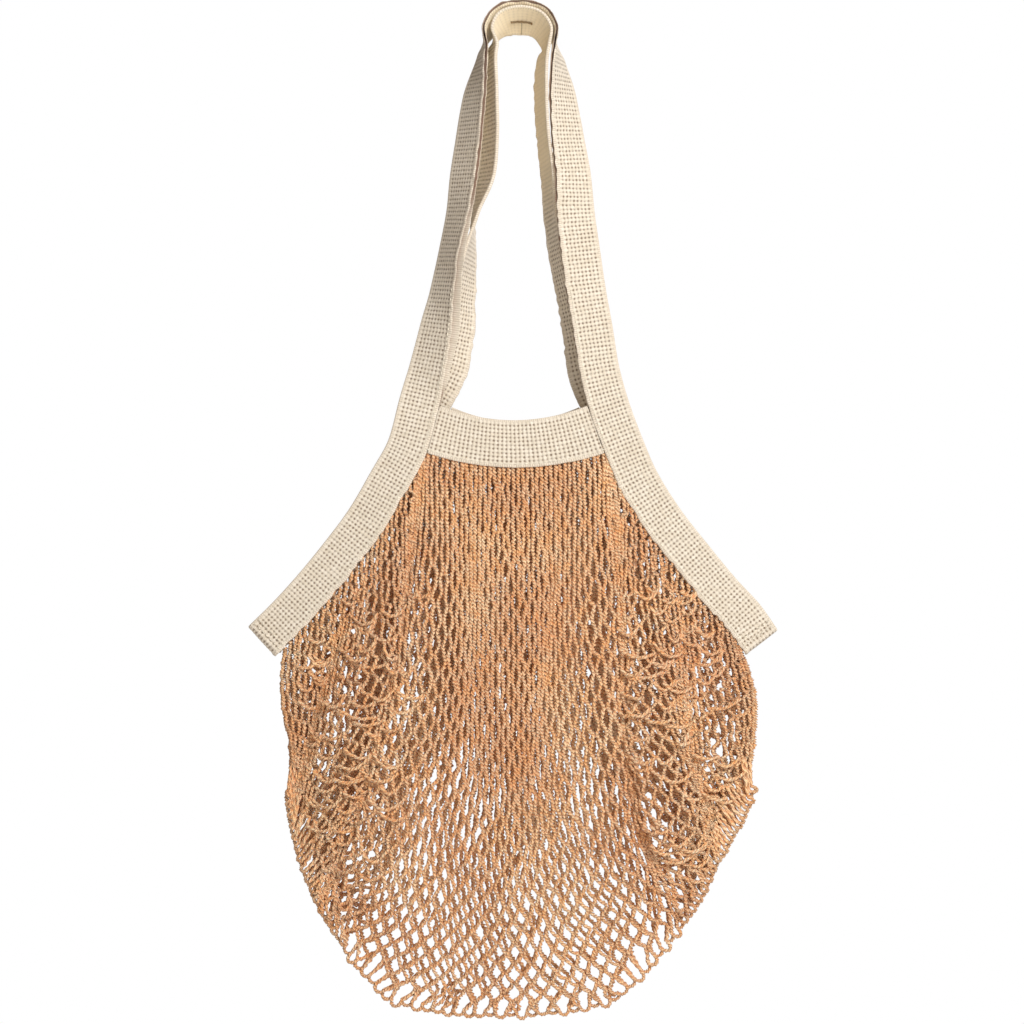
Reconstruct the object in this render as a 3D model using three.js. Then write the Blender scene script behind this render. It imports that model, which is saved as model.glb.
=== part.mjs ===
// A string market bag as it hangs from a peg: two handles of cotton webbing folded in half lengthwise,
// which run on down the sides of the mouth and bind the net there, a short band of the same webbing
// across the front and the back of the mouth, and a bag of coarse net made of a front and a back panel.
// The origin is where a peg carries the handles, under the inner one. Z is up, X runs across the bag
// and -Y faces the viewer. Lengths are in millimetres and angles in degrees.
import * as THREE from 'three';

const { clamp, degToRad, lerp, smoothstep } = THREE.MathUtils;
const FRONT = new THREE.Vector3(0, -1, 0);

// Driving dimensions
const TAPE_WIDTH = 28; // the handles' folded webbing, from its fold to its two selvedges
const BAND_WIDTH = 33; // the same, of the bands across the mouth
const PLY = 1.1; // one layer of the webbing
const CLEARANCE = 0.3; // between pieces that touch
const SLOT_PLAY = 0.45; // beside the net's edge, in the webbing that binds it
const END_GAP = 0.8; // from a band's end to the handle's selvedges
const HANDLE_DROP = 269; // from the peg down to the bands
const ARCH_RADIUS = 24; // of the front handle over the peg
const BACK_ARCH_RADIUS = 18.6; // of the back handle, which lies inside the front one
const ARCH_TILT = 32; // how far the handles lean on the peg, front edge up
const LEFT_SPREAD = 79; // from the centre to each handle's middle, where the mouth begins
const RIGHT_SPREAD = 73;
const MOUTH_GAP = 20; // from the front handle to the back one at the bands
const LEFT_REACH = 178; // from the centre to each corner of the mouth
const RIGHT_REACH = 167;
const BINDING_FALL = 132; // from the bands down to the corners of the mouth
const BAND_SAG = 10;
const SLOT_ARCH = 0.4; // between the two layers of the webbing, over the peg
const SLOT_LEG = 1.0; // the same, along the handles
const SLOT_DEPTH = 12;
const NET_EDGE = 1.4; // thickness of the net's edge between the layers
const NET_INSERT = 6; // how far the net reaches in between them
const NET_HEIGHT = 386; // from the front band to the bottom of the net
const SIDE_FALL = 243; // from the corners down to where the bottom edge begins
const CORD_WIDTH = 7;
const CORD_DEPTH = 2.4;
const EDGE_WIDTH = 5; // of the closed edge all round a panel
const FRONT_BULGE = 12; // how far the middle of the front panel stands out from the mouth
const BACK_BULGE = 7;
const SWELL_WIDTH = 80; // from a panel's sides to where it stands out fully
const SWELL_TOP = 150; // the same, from the band down
const SWELL_BOTTOM = 120; // the same, from the bottom up
const MESH_COLUMNS = 10; // half meshes across a panel
const MESH_ROWS = 10; // half meshes from its top to its bottom
const ROW_TAPER = 0.86; // below 1 the meshes are taller at the top than at the bottom

// Sizes that follow from them
const SLOT_BINDING = NET_EDGE + 2 * SLOT_PLAY;
const ARCH_THICKNESS = 2 * PLY + SLOT_ARCH;
const BINDING_THICKNESS = 2 * PLY + SLOT_BINDING;
const BAND_LOW = HANDLE_DROP + BAND_WIDTH;
const LEG_DROP = lerp(HANDLE_DROP, BAND_LOW, 0.9); // to where the bound sides of the mouth begin
const CORNER_BEND = BINDING_THICKNESS / 2 + CLEARANCE; // of the webbing's turn from front to back
const CORNER_DEPTH = CORNER_BEND + CLEARANCE / 2;
const SEAM_DEPTH = (CORD_DEPTH + CLEARANCE) / 2; // of a panel's free edge, beside the other panel's
const TILT_COS = Math.cos(degToRad(ARCH_TILT));
const BACK_ARCH_TOP = ARCH_THICKNESS / 2 / TILT_COS;
const FRONT_ARCH_TOP = BACK_ARCH_TOP + (ARCH_THICKNESS + CLEARANCE) / TILT_COS;

// How a handle's legs spread and turn on their way down from the peg.
// drop: share of the way from the peg to the mouth. left, right: share of the way from the arch's side to
// where the mouth begins. turns: 0 where the webbing faces the viewer, 90 where its selvedges do.
// lap: how far the rear layer shows beyond the front one, as a share of the webbing's width.
const FRONT_LEGS = [
  { drop: 0.085, left: 0.05, leftTurn: 82, right: 0.05, rightTurn: 76, lap: 0 },
  { drop: 0.176, left: 0.13, leftTurn: 64, right: 0.1, rightTurn: 52, lap: 0 },
  { drop: 0.268, left: 0.2, leftTurn: 55, right: 0.17, rightTurn: 39, lap: 0 },
  { drop: 0.359, left: 0.27, leftTurn: 50, right: 0.25, rightTurn: 29, lap: 0 },
  { drop: 0.451, left: 0.35, leftTurn: 54, right: 0.305, rightTurn: 18, lap: 0.05 },
  { drop: 0.542, left: 0.455, leftTurn: 57, right: 0.375, rightTurn: 13, lap: 0.16 },
  { drop: 0.634, left: 0.54, leftTurn: 50, right: 0.455, rightTurn: 12, lap: 0.18 },
  { drop: 0.725, left: 0.63, leftTurn: 33, right: 0.55, rightTurn: 8, lap: 0.18 },
  { drop: 0.817, left: 0.735, leftTurn: 20, right: 0.64, rightTurn: 6, lap: 0.08 },
  { drop: 0.9, left: 0.85, leftTurn: 0, right: 0.775, rightTurn: 0, lap: 0 },
];
const BACK_LEGS = [
  { drop: 0.085, left: -0.01, leftTurn: 86, right: -0.07, rightTurn: 80, lap: 0 },
  { drop: 0.176, left: 0, leftTurn: 86, right: -0.11, rightTurn: 80, lap: 0 },
  { drop: 0.268, left: 0.01, leftTurn: 86, right: -0.09, rightTurn: 80, lap: 0 },
  { drop: 0.359, left: 0.05, leftTurn: 84, right: -0.05, rightTurn: 80, lap: 0 },
  { drop: 0.451, left: 0.16, leftTurn: 76, right: 0.01, rightTurn: 76, lap: 0 },
  { drop: 0.542, left: 0.27, leftTurn: 62, right: 0.16, rightTurn: 66, lap: 0 },
  { drop: 0.634, left: 0.35, leftTurn: 50, right: 0.3, rightTurn: 55, lap: 0 },
  { drop: 0.725, left: 0.42, leftTurn: 38, right: 0.42, rightTurn: 42, lap: 0 },
  { drop: 0.817, left: 0.54, leftTurn: 20, right: 0.53, rightTurn: 22, lap: 0 },
  { drop: 0.9, left: 0.76, leftTurn: 0, right: 0.72, rightTurn: 0, lap: 0 },
];
// The bound sides of the mouth, from the bands to the corners.
// fall: share of the way down. left, right: share of the way out.
const BINDING = [
  { fall: 0, left: 0, right: 0 },
  { fall: 0.17, left: 0.125, right: 0.105 },
  { fall: 0.38, left: 0.29, right: 0.29 },
  { fall: 0.58, left: 0.49, right: 0.51 },
  { fall: 0.76, left: 0.69, right: 0.72 },
  { fall: 0.89, left: 0.85, right: 0.89 },
  { fall: 1, left: 1, right: 1 },
];
// The net's free sides, from the corners of the mouth to the ends of the bottom edge.
// fall: share of the way down. left, right: distance from the centre, as a share of the corner's.
const NET_SIDES = [
  { fall: 0.1, left: 0.963, right: 0.988 },
  { fall: 0.2, left: 0.952, right: 1.008 },
  { fall: 0.3, left: 0.912, right: 0.988 },
  { fall: 0.4, left: 0.912, right: 0.964 },
  { fall: 0.5, left: 0.893, right: 0.91 },
  { fall: 0.6, left: 0.861, right: 0.825 },
  { fall: 0.7, left: 0.808, right: 0.753 },
  { fall: 0.8, left: 0.734, right: 0.659 },
  { fall: 0.9, left: 0.629, right: 0.541 },
  { fall: 1, left: 0.499, right: 0.401 },
];
const MOUTH_SHARE = 0.38; // share of the net's side that is bound by the handles
// Upright folds of the slack net beside the straight middle part.
// at, width: place and half width as shares of the way across. out: share of the panel's bulge.
const NET_FOLDS = [
  { at: 0.1, width: 0.06, out: 0.7 },
  { at: 0.23, width: 0.06, out: -0.45 },
  { at: 0.5, width: 0.14, out: 0.4 },
  { at: 0.78, width: 0.06, out: -0.4 },
  { at: 0.9, width: 0.06, out: 0.65 },
];


const FRONT_SIDE = {
  face: 1,
  radius: ARCH_RADIUS,
  top: FRONT_ARCH_TOP,
  legs: FRONT_LEGS,
  bulge: FRONT_BULGE,
};
const BACK_SIDE = {
  face: -1,
  radius: BACK_ARCH_RADIUS,
  top: BACK_ARCH_TOP,
  legs: BACK_LEGS,
  bulge: BACK_BULGE,
};

// A geometry of shared points and triangles, with its faces turned outwards.
function skin(points, faces) {
  const volume = faces.reduce(
    (sum, [a, b, c]) => sum + points[a].dot(new THREE.Vector3().crossVectors(points[b], points[c])),
    0,
  );
  const geometry = new THREE.BufferGeometry().setFromPoints(points);
  geometry.setIndex(faces.flatMap(([a, b, c]) => (volume < 0 ? [a, c, b] : [a, b, c])));
  geometry.computeVertexNormals();
  return geometry;
}

// A closed skin over rings of points that all follow one outline; the first and last ring are capped.
function loft(rings, outline) {
  const corners = outline.length;
  const faces = [];
  for (let ring = 0; ring + 1 < rings.length; ring++) {
    for (let corner = 0; corner < corners; corner++) {
      const a = ring * corners + corner;
      const b = ring * corners + ((corner + 1) % corners);
      faces.push([a, b, b + corners], [a, b + corners, a + corners]);
    }
  }
  const last = (rings.length - 1) * corners;
  for (const [a, b, c] of THREE.ShapeUtils.triangulateShape(outline, [])) {
    faces.push([a, c, b], [last + a, last + b, last + c]);
  }
  return skin(rings.flat(), faces);
}

// The folded webbing's section: x from the fold to the selvedges, y from the rear layer to the front one.
function tapeOutline({ width, slot, lap }) {
  const half = width / 2;
  const thick = PLY + slot / 2;
  const closed = PLY + SLOT_ARCH / 2;
  const inner = half - SLOT_DEPTH;
  return [
    [-half, 0],
    [-half + closed * 0.8, -closed],
    [inner, -(thick + closed) / 2],
    [half + lap, -thick],
    [half + lap, -slot / 2],
    [inner, -slot / 2],
    [inner, slot / 2],
    [half, slot / 2],
    [half, thick],
    [inner, (thick + closed) / 2],
    [-half + closed * 0.8, closed],
  ].map(([x, y]) => new THREE.Vector2(x, y));
}

function tapeGeometry(stations) {
  const rings = stations.map((station) =>
    tapeOutline(station).map((p) =>
      station.at.clone().addScaledVector(station.along, p.x).addScaledVector(station.out, p.y),
    ),
  );
  return loft(rings, tapeOutline(stations[0]));
}

// How far the mouth's rim stands from the middle plane: most at the bands, least at the corners.
function rimDepth(x, z) {
  const [spread, reach] = x < 0 ? [LEFT_SPREAD, LEFT_REACH] : [RIGHT_SPREAD, RIGHT_REACH];
  const run = new THREE.Vector2(reach - spread, BINDING_FALL);
  const share = new THREE.Vector2(Math.abs(x) - spread, -LEG_DROP - z).dot(run) / run.lengthSq();
  return lerp(MOUTH_GAP / 2, CORNER_DEPTH, clamp(share, 0, 1));
}

// Shares of the drop at which the two handles part, and the webbing opens to bind the net.
const PARTING_FROM = 0.05;
const PARTING_TO = 0.7;
const BINDING_FROM = 0.9;

// One side of a handle's path, from under the peg down to the corner of the mouth.
function sideRows({ face, radius, legs }, side, sign, spread, reach) {
  const down = legs.map((leg) => ({
    at: new THREE.Vector3(
      sign * lerp(radius, spread, leg[side]),
      (-face * MOUTH_GAP * smoothstep(leg.drop, PARTING_FROM, PARTING_TO)) / 2,
      -LEG_DROP * leg.drop,
    ),
    turn: face * leg[`${side}Turn`],
    lap: side === 'left' ? leg.lap * TAPE_WIDTH : 0,
    slot: lerp(SLOT_LEG, SLOT_BINDING, smoothstep(leg.drop, PARTING_TO, BINDING_FROM)),
  }));
  const bound = BINDING.map((row) => {
    const x = sign * lerp(spread, reach, row[side]);
    const z = -LEG_DROP - BINDING_FALL * row.fall;
    return { at: new THREE.Vector3(x, -face * rimDepth(x, z), z), turn: 0, lap: 0, slot: SLOT_BINDING };
  });
  return [...down, ...bound];
}

const ARCH_ANGLES = [180, 150, 120, 90, 60, 30, 0];

// The rows of one handle's path, from its left corner over the peg to its right corner.
function handleRows(spec) {
  const arch = ARCH_ANGLES.map((angle) => {
    const sine = Math.sin(degToRad(angle));
    const x = spec.radius * Math.cos(degToRad(angle));
    return {
      at: new THREE.Vector3(x, 0, spec.top - spec.radius * (1 - sine)),
      turn: spec.face * 90 + ARCH_TILT * sine,
      lap: 0,
      slot: SLOT_ARCH,
    };
  });
  const left = sideRows(spec, 'left', -1, LEFT_SPREAD, LEFT_REACH).reverse();
  return [...left, ...arch, ...sideRows(spec, 'right', 1, RIGHT_SPREAD, RIGHT_REACH)];
}

const STATIONS_PER_ROW = 2;

// Where the webbing lies along its path: its middle, its direction from the fold to the selvedges, and
// its outer side.
function handleRun(spec) {
  const rows = handleRows(spec);
  const traits = rows.map((row) => new THREE.Vector3(row.turn, row.lap, row.slot));
  const path = new THREE.CatmullRomCurve3(rows.map((row) => row.at), false, 'centripetal');
  const trait = new THREE.CatmullRomCurve3(traits, false, 'catmullrom', 0.3);
  const steps = (rows.length - 1) * STATIONS_PER_ROW;
  return Array.from({ length: steps + 1 }, (_, i) => {
    const tangent = path.getTangent(i / steps).setY(0).normalize();
    const inward = new THREE.Vector3(tangent.z, 0, -tangent.x);
    const { x: turn, y: lap, z: slot } = trait.getPoint(i / steps);
    const cos = Math.cos(degToRad(turn));
    const sin = Math.sin(degToRad(turn));
    return {
      at: path.getPoint(i / steps),
      tangent,
      along: inward.clone().multiplyScalar(cos).addScaledVector(FRONT, sin),
      out: FRONT.clone().multiplyScalar(cos).addScaledVector(inward, -sin).multiplyScalar(spec.face),
      width: TAPE_WIDTH,
      slot,
      lap: Math.max(0, lap),
    };
  });
}

const CORNER_STEPS = [30, 60, 90];

// At a corner of the mouth the webbing turns towards the other handle's end, which it meets there.
function cornerTurn(end, outward, face) {
  return CORNER_STEPS.map((step) => {
    const cos = Math.cos(degToRad(step));
    const sin = Math.sin(degToRad(step));
    const at = end.at.clone();
    at.addScaledVector(outward, CORNER_BEND * sin);
    at.addScaledVector(FRONT, -face * CORNER_BEND * (1 - cos));
    const out = FRONT.clone().multiplyScalar(face * cos).addScaledVector(outward, sin);
    return { ...end, at, out };
  });
}

function handleGeometry(spec, run) {
  const first = run[0];
  const last = run.at(-1);
  const leftTurn = cornerTurn(first, first.tangent.clone().negate(), spec.face).reverse();
  return tapeGeometry([...leftTurn, ...run, ...cornerTurn(last, last.tangent, spec.face)]);
}

// The line of a handle's front selvedge on one side, from above the bands down to the corner.
function selvedgeLine(run, sign) {
  const leg = run.filter(({ at }) => at.x * sign > 0 && at.z < -HANDLE_DROP * PARTING_TO);
  const points = leg.map(({ at, along }) => at.clone().addScaledVector(along, TAPE_WIDTH / 2));
  return sign < 0 ? points.reverse() : points;
}

// The point at a height on a line of points that runs downwards.
function atHeight(line, z) {
  const next = Math.max(1, line.findIndex((p) => p.z < z));
  const [a, b] = [line[next - 1], line[next]];
  return a.clone().lerp(b, (a.z - z) / (a.z - b.z));
}

const BAND_STEPS = 12;

// The band across the mouth, between the left and the right selvedges of a handle.
function bandGeometry({ face }, left, right) {
  const between = (z, share) => {
    const p = atHeight(left, z).lerp(atHeight(right, z), share);
    p.x += END_GAP * (1 - 2 * share);
    p.y = (-face * MOUTH_GAP) / 2;
    p.z -= BAND_SAG * (1 - (2 * share - 1) ** 2);
    return p;
  };
  const stations = Array.from({ length: BAND_STEPS + 1 }, (_, i) => {
    const high = between(-HANDLE_DROP, i / BAND_STEPS);
    const low = between(-BAND_LOW, i / BAND_STEPS);
    const along = low.clone().sub(high);
    const width = along.length();
    const out = FRONT.clone().multiplyScalar(face);
    along.normalize();
    return { at: high.lerp(low, 0.5), along, out, width, slot: SLOT_BINDING, lap: 0 };
  });
  return tapeGeometry(stations);
}

const LEAVING_FROM = 0.8; // share of the bound side from which the net's edge leaves the webbing

// A net panel's side seen from the front: bound by the handle's selvedges, then free.
function netSide(line, side, sign, spread, reach) {
  const corner = line.at(-1);
  const outward = new THREE.Vector2(sign * BINDING_FALL, reach - spread).normalize();
  const bound = (share) => {
    const p = atHeight(line, lerp(NET_INSERT - BAND_LOW, corner.z + END_GAP, share));
    const insert = lerp(NET_INSERT, -END_GAP, smoothstep(share, LEAVING_FROM, 1));
    return new THREE.Vector2(p.x, p.z).addScaledVector(outward, insert);
  };
  const rows = NET_SIDES.map(
    (row) => new THREE.Vector2(sign * reach * row[side], corner.z - SIDE_FALL * row.fall),
  );
  const free = new THREE.SplineCurve([bound(1), ...rows]);
  return (v) => {
    const fall = (v - MOUTH_SHARE) / (1 - MOUTH_SHARE);
    return fall < 0 ? bound(v / MOUTH_SHARE) : free.getPoint(fall);
  };
}

const SLOT_END = NET_INSERT + 2; // the net lies flat this far in from its bound edges
const SEAM_CLOSING = 0.1; // share of the side in which the two panels close up below a corner

// A net panel's middle surface and its thickness: u runs across from left to right, v from top to bottom.
function netSurface({ face, bulge }, left, right) {
  const leftSide = netSide(left, 'left', -1, LEFT_SPREAD, LEFT_REACH);
  const rightSide = netSide(right, 'right', 1, RIGHT_SPREAD, RIGHT_REACH);
  const widthAt = (v) => rightSide(v).x - leftSide(v).x;
  const middleHeight = (v) => NET_INSERT - BAND_LOW - BAND_SAG - (NET_HEIGHT + NET_INSERT) * v;
  const pointAt = (u, v) => {
    const seen = leftSide(v).lerp(rightSide(v), u);
    const x = seen.x;
    const z = lerp(seen.y, middleHeight(v), 1 - (2 * u - 1) ** 2);
    const fromSide = Math.min(u, 1 - u) * widthAt(v);
    const swell =
      smoothstep(fromSide, SLOT_END, SWELL_WIDTH) *
      smoothstep(v * NET_HEIGHT, SLOT_END, SWELL_TOP) *
      smoothstep((1 - v) * NET_HEIGHT, 0, SWELL_BOTTOM);
    const edge = lerp(rimDepth(x, z), SEAM_DEPTH, smoothstep(v, MOUTH_SHARE, MOUTH_SHARE + SEAM_CLOSING));
    const folds = NET_FOLDS.reduce(
      (sum, fold) => sum + fold.out * Math.exp(-(((u - fold.at) / fold.width) ** 2)),
      1,
    );
    const full = (MOUTH_GAP / 2) * (1 - v * v) + bulge * folds;
    return new THREE.Vector3(x, -face * lerp(edge, full, swell), z);
  };
  const thicknessAt = (u, v) => {
    const fall = Math.max(0, v - MOUTH_SHARE) * NET_HEIGHT;
    const bound = Math.min(v * NET_HEIGHT, Math.min(u, 1 - u) * widthAt(v) + fall);
    return lerp(NET_EDGE, CORD_DEPTH, smoothstep(bound, SLOT_END, 2 * SLOT_END));
  };
  return { widthAt, pointAt, thicknessAt };
}

// A place on a panel, by columns and rows of half meshes. Steps beyond the first and the last one lie on
// the panel's outline.
function netPlace({ widthAt }, column, row) {
  const share = (step, steps, edge, taper) => {
    if (step < 0) return 0;
    if (step > steps) return 1;
    return edge + (1 - 2 * edge) * (step / steps) ** taper;
  };
  const v = share(row, MESH_ROWS, EDGE_WIDTH / NET_HEIGHT, ROW_TAPER);
  return [share(column, MESH_COLUMNS, EDGE_WIDTH / widthAt(v), 1), v];
}

const GAP_ROUNDING = 1.05; // the cords are a little thinner between two joins than at them
const LEAST_GAP = 0.3;

// How far a gap reaches towards the joins round it, so that the cords between keep their width.
function gapShare(surface, column, row) {
  const at = (c, r) => {
    const place = netPlace(surface, clamp(c, 0, MESH_COLUMNS), clamp(r, 0, MESH_ROWS));
    return surface.pointAt(...place);
  };
  const [left, right] = [at(column - 1, row), at(column + 1, row)];
  const [high, low] = [at(column, row - 1), at(column, row + 1)];
  const across = left.distanceTo(right) / (column % MESH_COLUMNS ? 2 : 1);
  const down = high.distanceTo(low) / (row % MESH_ROWS ? 2 : 1);
  const cord = ((CORD_WIDTH / 2) * Math.hypot(across, down)) / (across * down);
  return Math.max(LEAST_GAP, 1 - cord);
}

// The cords of a panel as flat triangles between places on it. Joins are where column and row add up to
// an even number, and the gaps lie between them.
function netPattern(surface) {
  const triangles = [];
  const fan = ([first, ...others]) => {
    others.slice(1).forEach((place, i) => triangles.push([first, others[i], place]));
  };
  const towards = (from, to, share) => from.map((value, axis) => lerp(value, to[axis], share));
  const isJoin = ([column, row]) => (column + row) % 2 === 0;
  for (let column = 0; column < MESH_COLUMNS; column++) {
    for (let row = 0; row < MESH_ROWS; row++) {
      const square = [[column, row], [column + 1, row], [column + 1, row + 1], [column, row + 1]];
      const [a, c, b, d] = isJoin(square[0]) ? square : [...square.slice(1), square[0]];
      const [cornerC, cornerD] = [c, d].map((gap) => {
        const reach = gapShare(surface, ...gap);
        const [nearA, nearB] = [towards(gap, a, reach), towards(gap, b, reach)];
        return [nearA, towards(gap, towards(nearA, nearB, 0.5), GAP_ROUNDING), nearB];
      });
      fan([cornerC[1], cornerC[2], cornerD[2], cornerD[1], cornerD[0], cornerC[0]]);
      triangles.push([a, cornerC[0], cornerD[0]], [cornerC[2], b, cornerD[2]]);
    }
  }
  const edge = (outerA, outerB, innerB, innerA) => {
    const [gap, join] = isJoin(innerA) ? [innerB, innerA] : [innerA, innerB];
    fan([towards(gap, join, gapShare(surface, ...gap)), innerA, outerA, outerB, innerB]);
  };
  for (let i = 0; i < MESH_COLUMNS; i++) {
    edge([i, -1], [i + 1, -1], [i + 1, 0], [i, 0]);
    edge([i + 1, MESH_ROWS + 1], [i, MESH_ROWS + 1], [i, MESH_ROWS], [i + 1, MESH_ROWS]);
  }
  for (let j = 0; j < MESH_ROWS; j++) {
    edge([MESH_COLUMNS + 1, j], [MESH_COLUMNS + 1, j + 1], [MESH_COLUMNS, j + 1], [MESH_COLUMNS, j]);
    edge([-1, j + 1], [-1, j], [0, j], [0, j + 1]);
  }
  for (const [c, outerC] of [[0, -1], [MESH_COLUMNS, MESH_COLUMNS + 1]]) {
    for (const [r, outerR] of [[0, -1], [MESH_ROWS, MESH_ROWS + 1]]) {
      const corner = [[outerC, outerR], [c, outerR], [c, r], [outerC, r]];
      fan((c === 0) === (r === 0) ? corner : corner.reverse());
    }
  }
  return triangles;
}

// A panel's solid: its pattern on either side of the middle surface, with walls along every free edge.
function netGeometry(spec, left, right) {
  const surface = netSurface(spec, left, right);
  const indices = new Map();
  const fronts = [];
  const backs = [];
  const indexOf = (place) => {
    const key = place.map((value) => value.toFixed(5)).join();
    if (!indices.has(key)) {
      const [u, v] = netPlace(surface, ...place);
      const half = normalAt(surface, u, v).multiplyScalar(surface.thicknessAt(u, v) / 2);
      indices.set(key, fronts.length);
      fronts.push(surface.pointAt(u, v).add(half));
      backs.push(surface.pointAt(u, v).sub(half));
    }
    return indices.get(key);
  };
  const sheet = netPattern(surface).map((triangle) => triangle.map(indexOf));
  const count = fronts.length;
  const faces = sheet.flatMap(([a, b, c]) => [[a, b, c], [a + count, c + count, b + count]]);
  const used = new Set(sheet.flatMap(([a, b, c]) => [`${a},${b}`, `${b},${c}`, `${c},${a}`]));
  for (const side of used) {
    const [a, b] = side.split(',').map(Number);
    if (!used.has(`${b},${a}`)) faces.push([b, a, a + count], [b, a + count, b + count]);
  }
  return skin([...fronts, ...backs], faces);
}

function normalAt(surface, u, v) {
  const step = 0.004;
  const along = (from, to) => surface.pointAt(...to).sub(surface.pointAt(...from));
  const across = along([Math.max(0, u - step), v], [Math.min(1, u + step), v]);
  const down = along([u, Math.max(0, v - step)], [u, Math.min(1, v + step)]);
  return down.cross(across).normalize();
}

const webbing = new THREE.MeshStandardMaterial({ color: 0xf0e7d3, roughness: 0.95, metalness: 0 });
const netting = new THREE.MeshStandardMaterial({ color: 0xd79a66, roughness: 0.9, metalness: 0 });

function addPiece(group, name, geometry, material) {
  const mesh = new THREE.Mesh(geometry, material);
  mesh.name = name;
  group.add(mesh);
}

const bag = new THREE.Group();
for (const [side, spec] of [['front', FRONT_SIDE], ['back', BACK_SIDE]]) {
  const run = handleRun(spec);
  const left = selvedgeLine(run, -1);
  const right = selvedgeLine(run, 1);
  addPiece(bag, `handle_${side}`, handleGeometry(spec, run), webbing);
  addPiece(bag, `top_band_${side}`, bandGeometry(spec, left, right), webbing);
  addPiece(bag, `net_${side}`, netGeometry(spec, left, right), netting);
}

export default bag;
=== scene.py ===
import math

import bpy
import numpy as np
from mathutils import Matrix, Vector


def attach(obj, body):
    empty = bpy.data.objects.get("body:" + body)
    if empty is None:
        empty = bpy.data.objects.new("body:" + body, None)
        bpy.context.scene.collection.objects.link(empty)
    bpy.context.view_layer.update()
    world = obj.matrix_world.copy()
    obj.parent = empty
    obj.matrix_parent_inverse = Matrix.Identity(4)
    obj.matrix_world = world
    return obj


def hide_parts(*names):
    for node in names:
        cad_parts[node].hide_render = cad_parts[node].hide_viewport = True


# A netted cotton market bag that hangs empty from a peg. Lengths are in millimetres and are turned to
# metres where a mesh is made. X runs across the bag, -Y faces the viewer and Z is up.
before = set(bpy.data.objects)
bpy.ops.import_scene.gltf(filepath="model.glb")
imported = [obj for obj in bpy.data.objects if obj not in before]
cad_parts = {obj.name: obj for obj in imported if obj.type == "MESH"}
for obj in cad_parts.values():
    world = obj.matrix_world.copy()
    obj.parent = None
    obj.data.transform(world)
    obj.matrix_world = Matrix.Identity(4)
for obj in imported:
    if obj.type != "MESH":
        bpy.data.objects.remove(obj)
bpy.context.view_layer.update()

MM = 0.001
FRONT = np.array([0.0, -1.0, 0.0])

# The webbing's sizes, which are those of its solids
TAPE_WIDTH = 28.0
BAND_WIDTH = 33.0
PLY = 1.1
CLEARANCE = 0.3
HANDLE_DROP = 269.0
ARCH_TILT = 32.0
ARCH_SQUARE = 0.82  # below 1 the arch is squarer than a half circle
ARCH_FEET = 1.7  # how far the front arch spreads at its feet, to make room for the back one
LEFT_SPREAD, RIGHT_SPREAD = 79.0, 73.0
MOUTH_GAP = 20.0
LEFT_REACH, RIGHT_REACH = 178.0, 167.0
BINDING_FALL = 132.0
BAND_SAG = 10.0
SLOT_ARCH, SLOT_LEG, SLOT_BINDING = 0.4, 1.0, 2.3
SLOT_DEPTH = 12.0
END_GAP = 0.8
BAND_LOW = HANDLE_DROP + BAND_WIDTH
LEG_DROP = HANDLE_DROP + 0.9 * BAND_WIDTH
CORNER_BEND = PLY + SLOT_BINDING / 2 + CLEARANCE
CORNER_DEPTH = CORNER_BEND + CLEARANCE / 2
ARCH_THICKNESS = 2 * PLY + SLOT_ARCH
BACK_ARCH_TOP = ARCH_THICKNESS / 2 / math.cos(math.radians(ARCH_TILT))
FRONT_ARCH_TOP = BACK_ARCH_TOP + (ARCH_THICKNESS + CLEARANCE) / math.cos(math.radians(ARCH_TILT))
PARTING_FROM, PARTING_TO, BINDING_FROM = 0.05, 0.7, 0.9

# Share of the drop; share of the way out and turn in degrees, left and right; lap of the rear layer.
# Near the peg the straps press on each other, so that they turn a little further than their solids.
FRONT_LEGS = (
    (0.085, 0.055, 76, 0.055, 72, 0),
    (0.176, 0.15, 57, 0.125, 48, 0),
    (0.268, 0.215, 51, 0.195, 37, 0),
    (0.359, 0.28, 48, 0.27, 28, 0),
    (0.451, 0.35, 54, 0.305, 18, 0.05),
    (0.542, 0.455, 57, 0.375, 13, 0.16),
    (0.634, 0.54, 50, 0.455, 12, 0.18),
    (0.725, 0.63, 33, 0.55, 8, 0.18),
    (0.817, 0.735, 20, 0.64, 6, 0.08),
    (0.9, 0.85, 0, 0.775, 0, 0),
)
BACK_LEGS = (
    (0.085, 0.02, 103, -0.047, 77, 0),
    (0.176, 0.025, 108, -0.066, 75, 0),
    (0.268, 0.037, 113, -0.035, 76, 0),
    (0.359, 0.08, 114, 0.024, 75, 0),
    (0.451, 0.21, 98, 0.06, 75, 0),
    (0.542, 0.28, 76, 0.16, 66, 0),
    (0.634, 0.355, 56, 0.3, 55, 0),
    (0.725, 0.42, 38, 0.42, 42, 0),
    (0.817, 0.54, 20, 0.53, 22, 0),
    (0.9, 0.76, 0, 0.72, 0, 0),
)
# Share of the fall to the corners, share of the way out left and right
BINDING = (
    (0, 0, 0),
    (0.17, 0.125, 0.105),
    (0.38, 0.29, 0.29),
    (0.58, 0.49, 0.51),
    (0.76, 0.69, 0.72),
    (0.89, 0.85, 0.89),
    (1, 1, 1),
)
# Share of the fall from the corners, distance from the centre as a share of the corner's
NET_SIDES = (
    (0.1, 0.963, 0.988),
    (0.2, 0.952, 1.008),
    (0.3, 0.912, 0.988),
    (0.4, 0.912, 0.964),
    (0.5, 0.893, 0.91),
    (0.6, 0.861, 0.825),
    (0.7, 0.808, 0.753),
    (0.8, 0.734, 0.659),
    (0.9, 0.629, 0.541),
    (1, 0.499, 0.401),
)
SIDE_FALL = 243.0
NET_BOTTOM = 693.0

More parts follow.
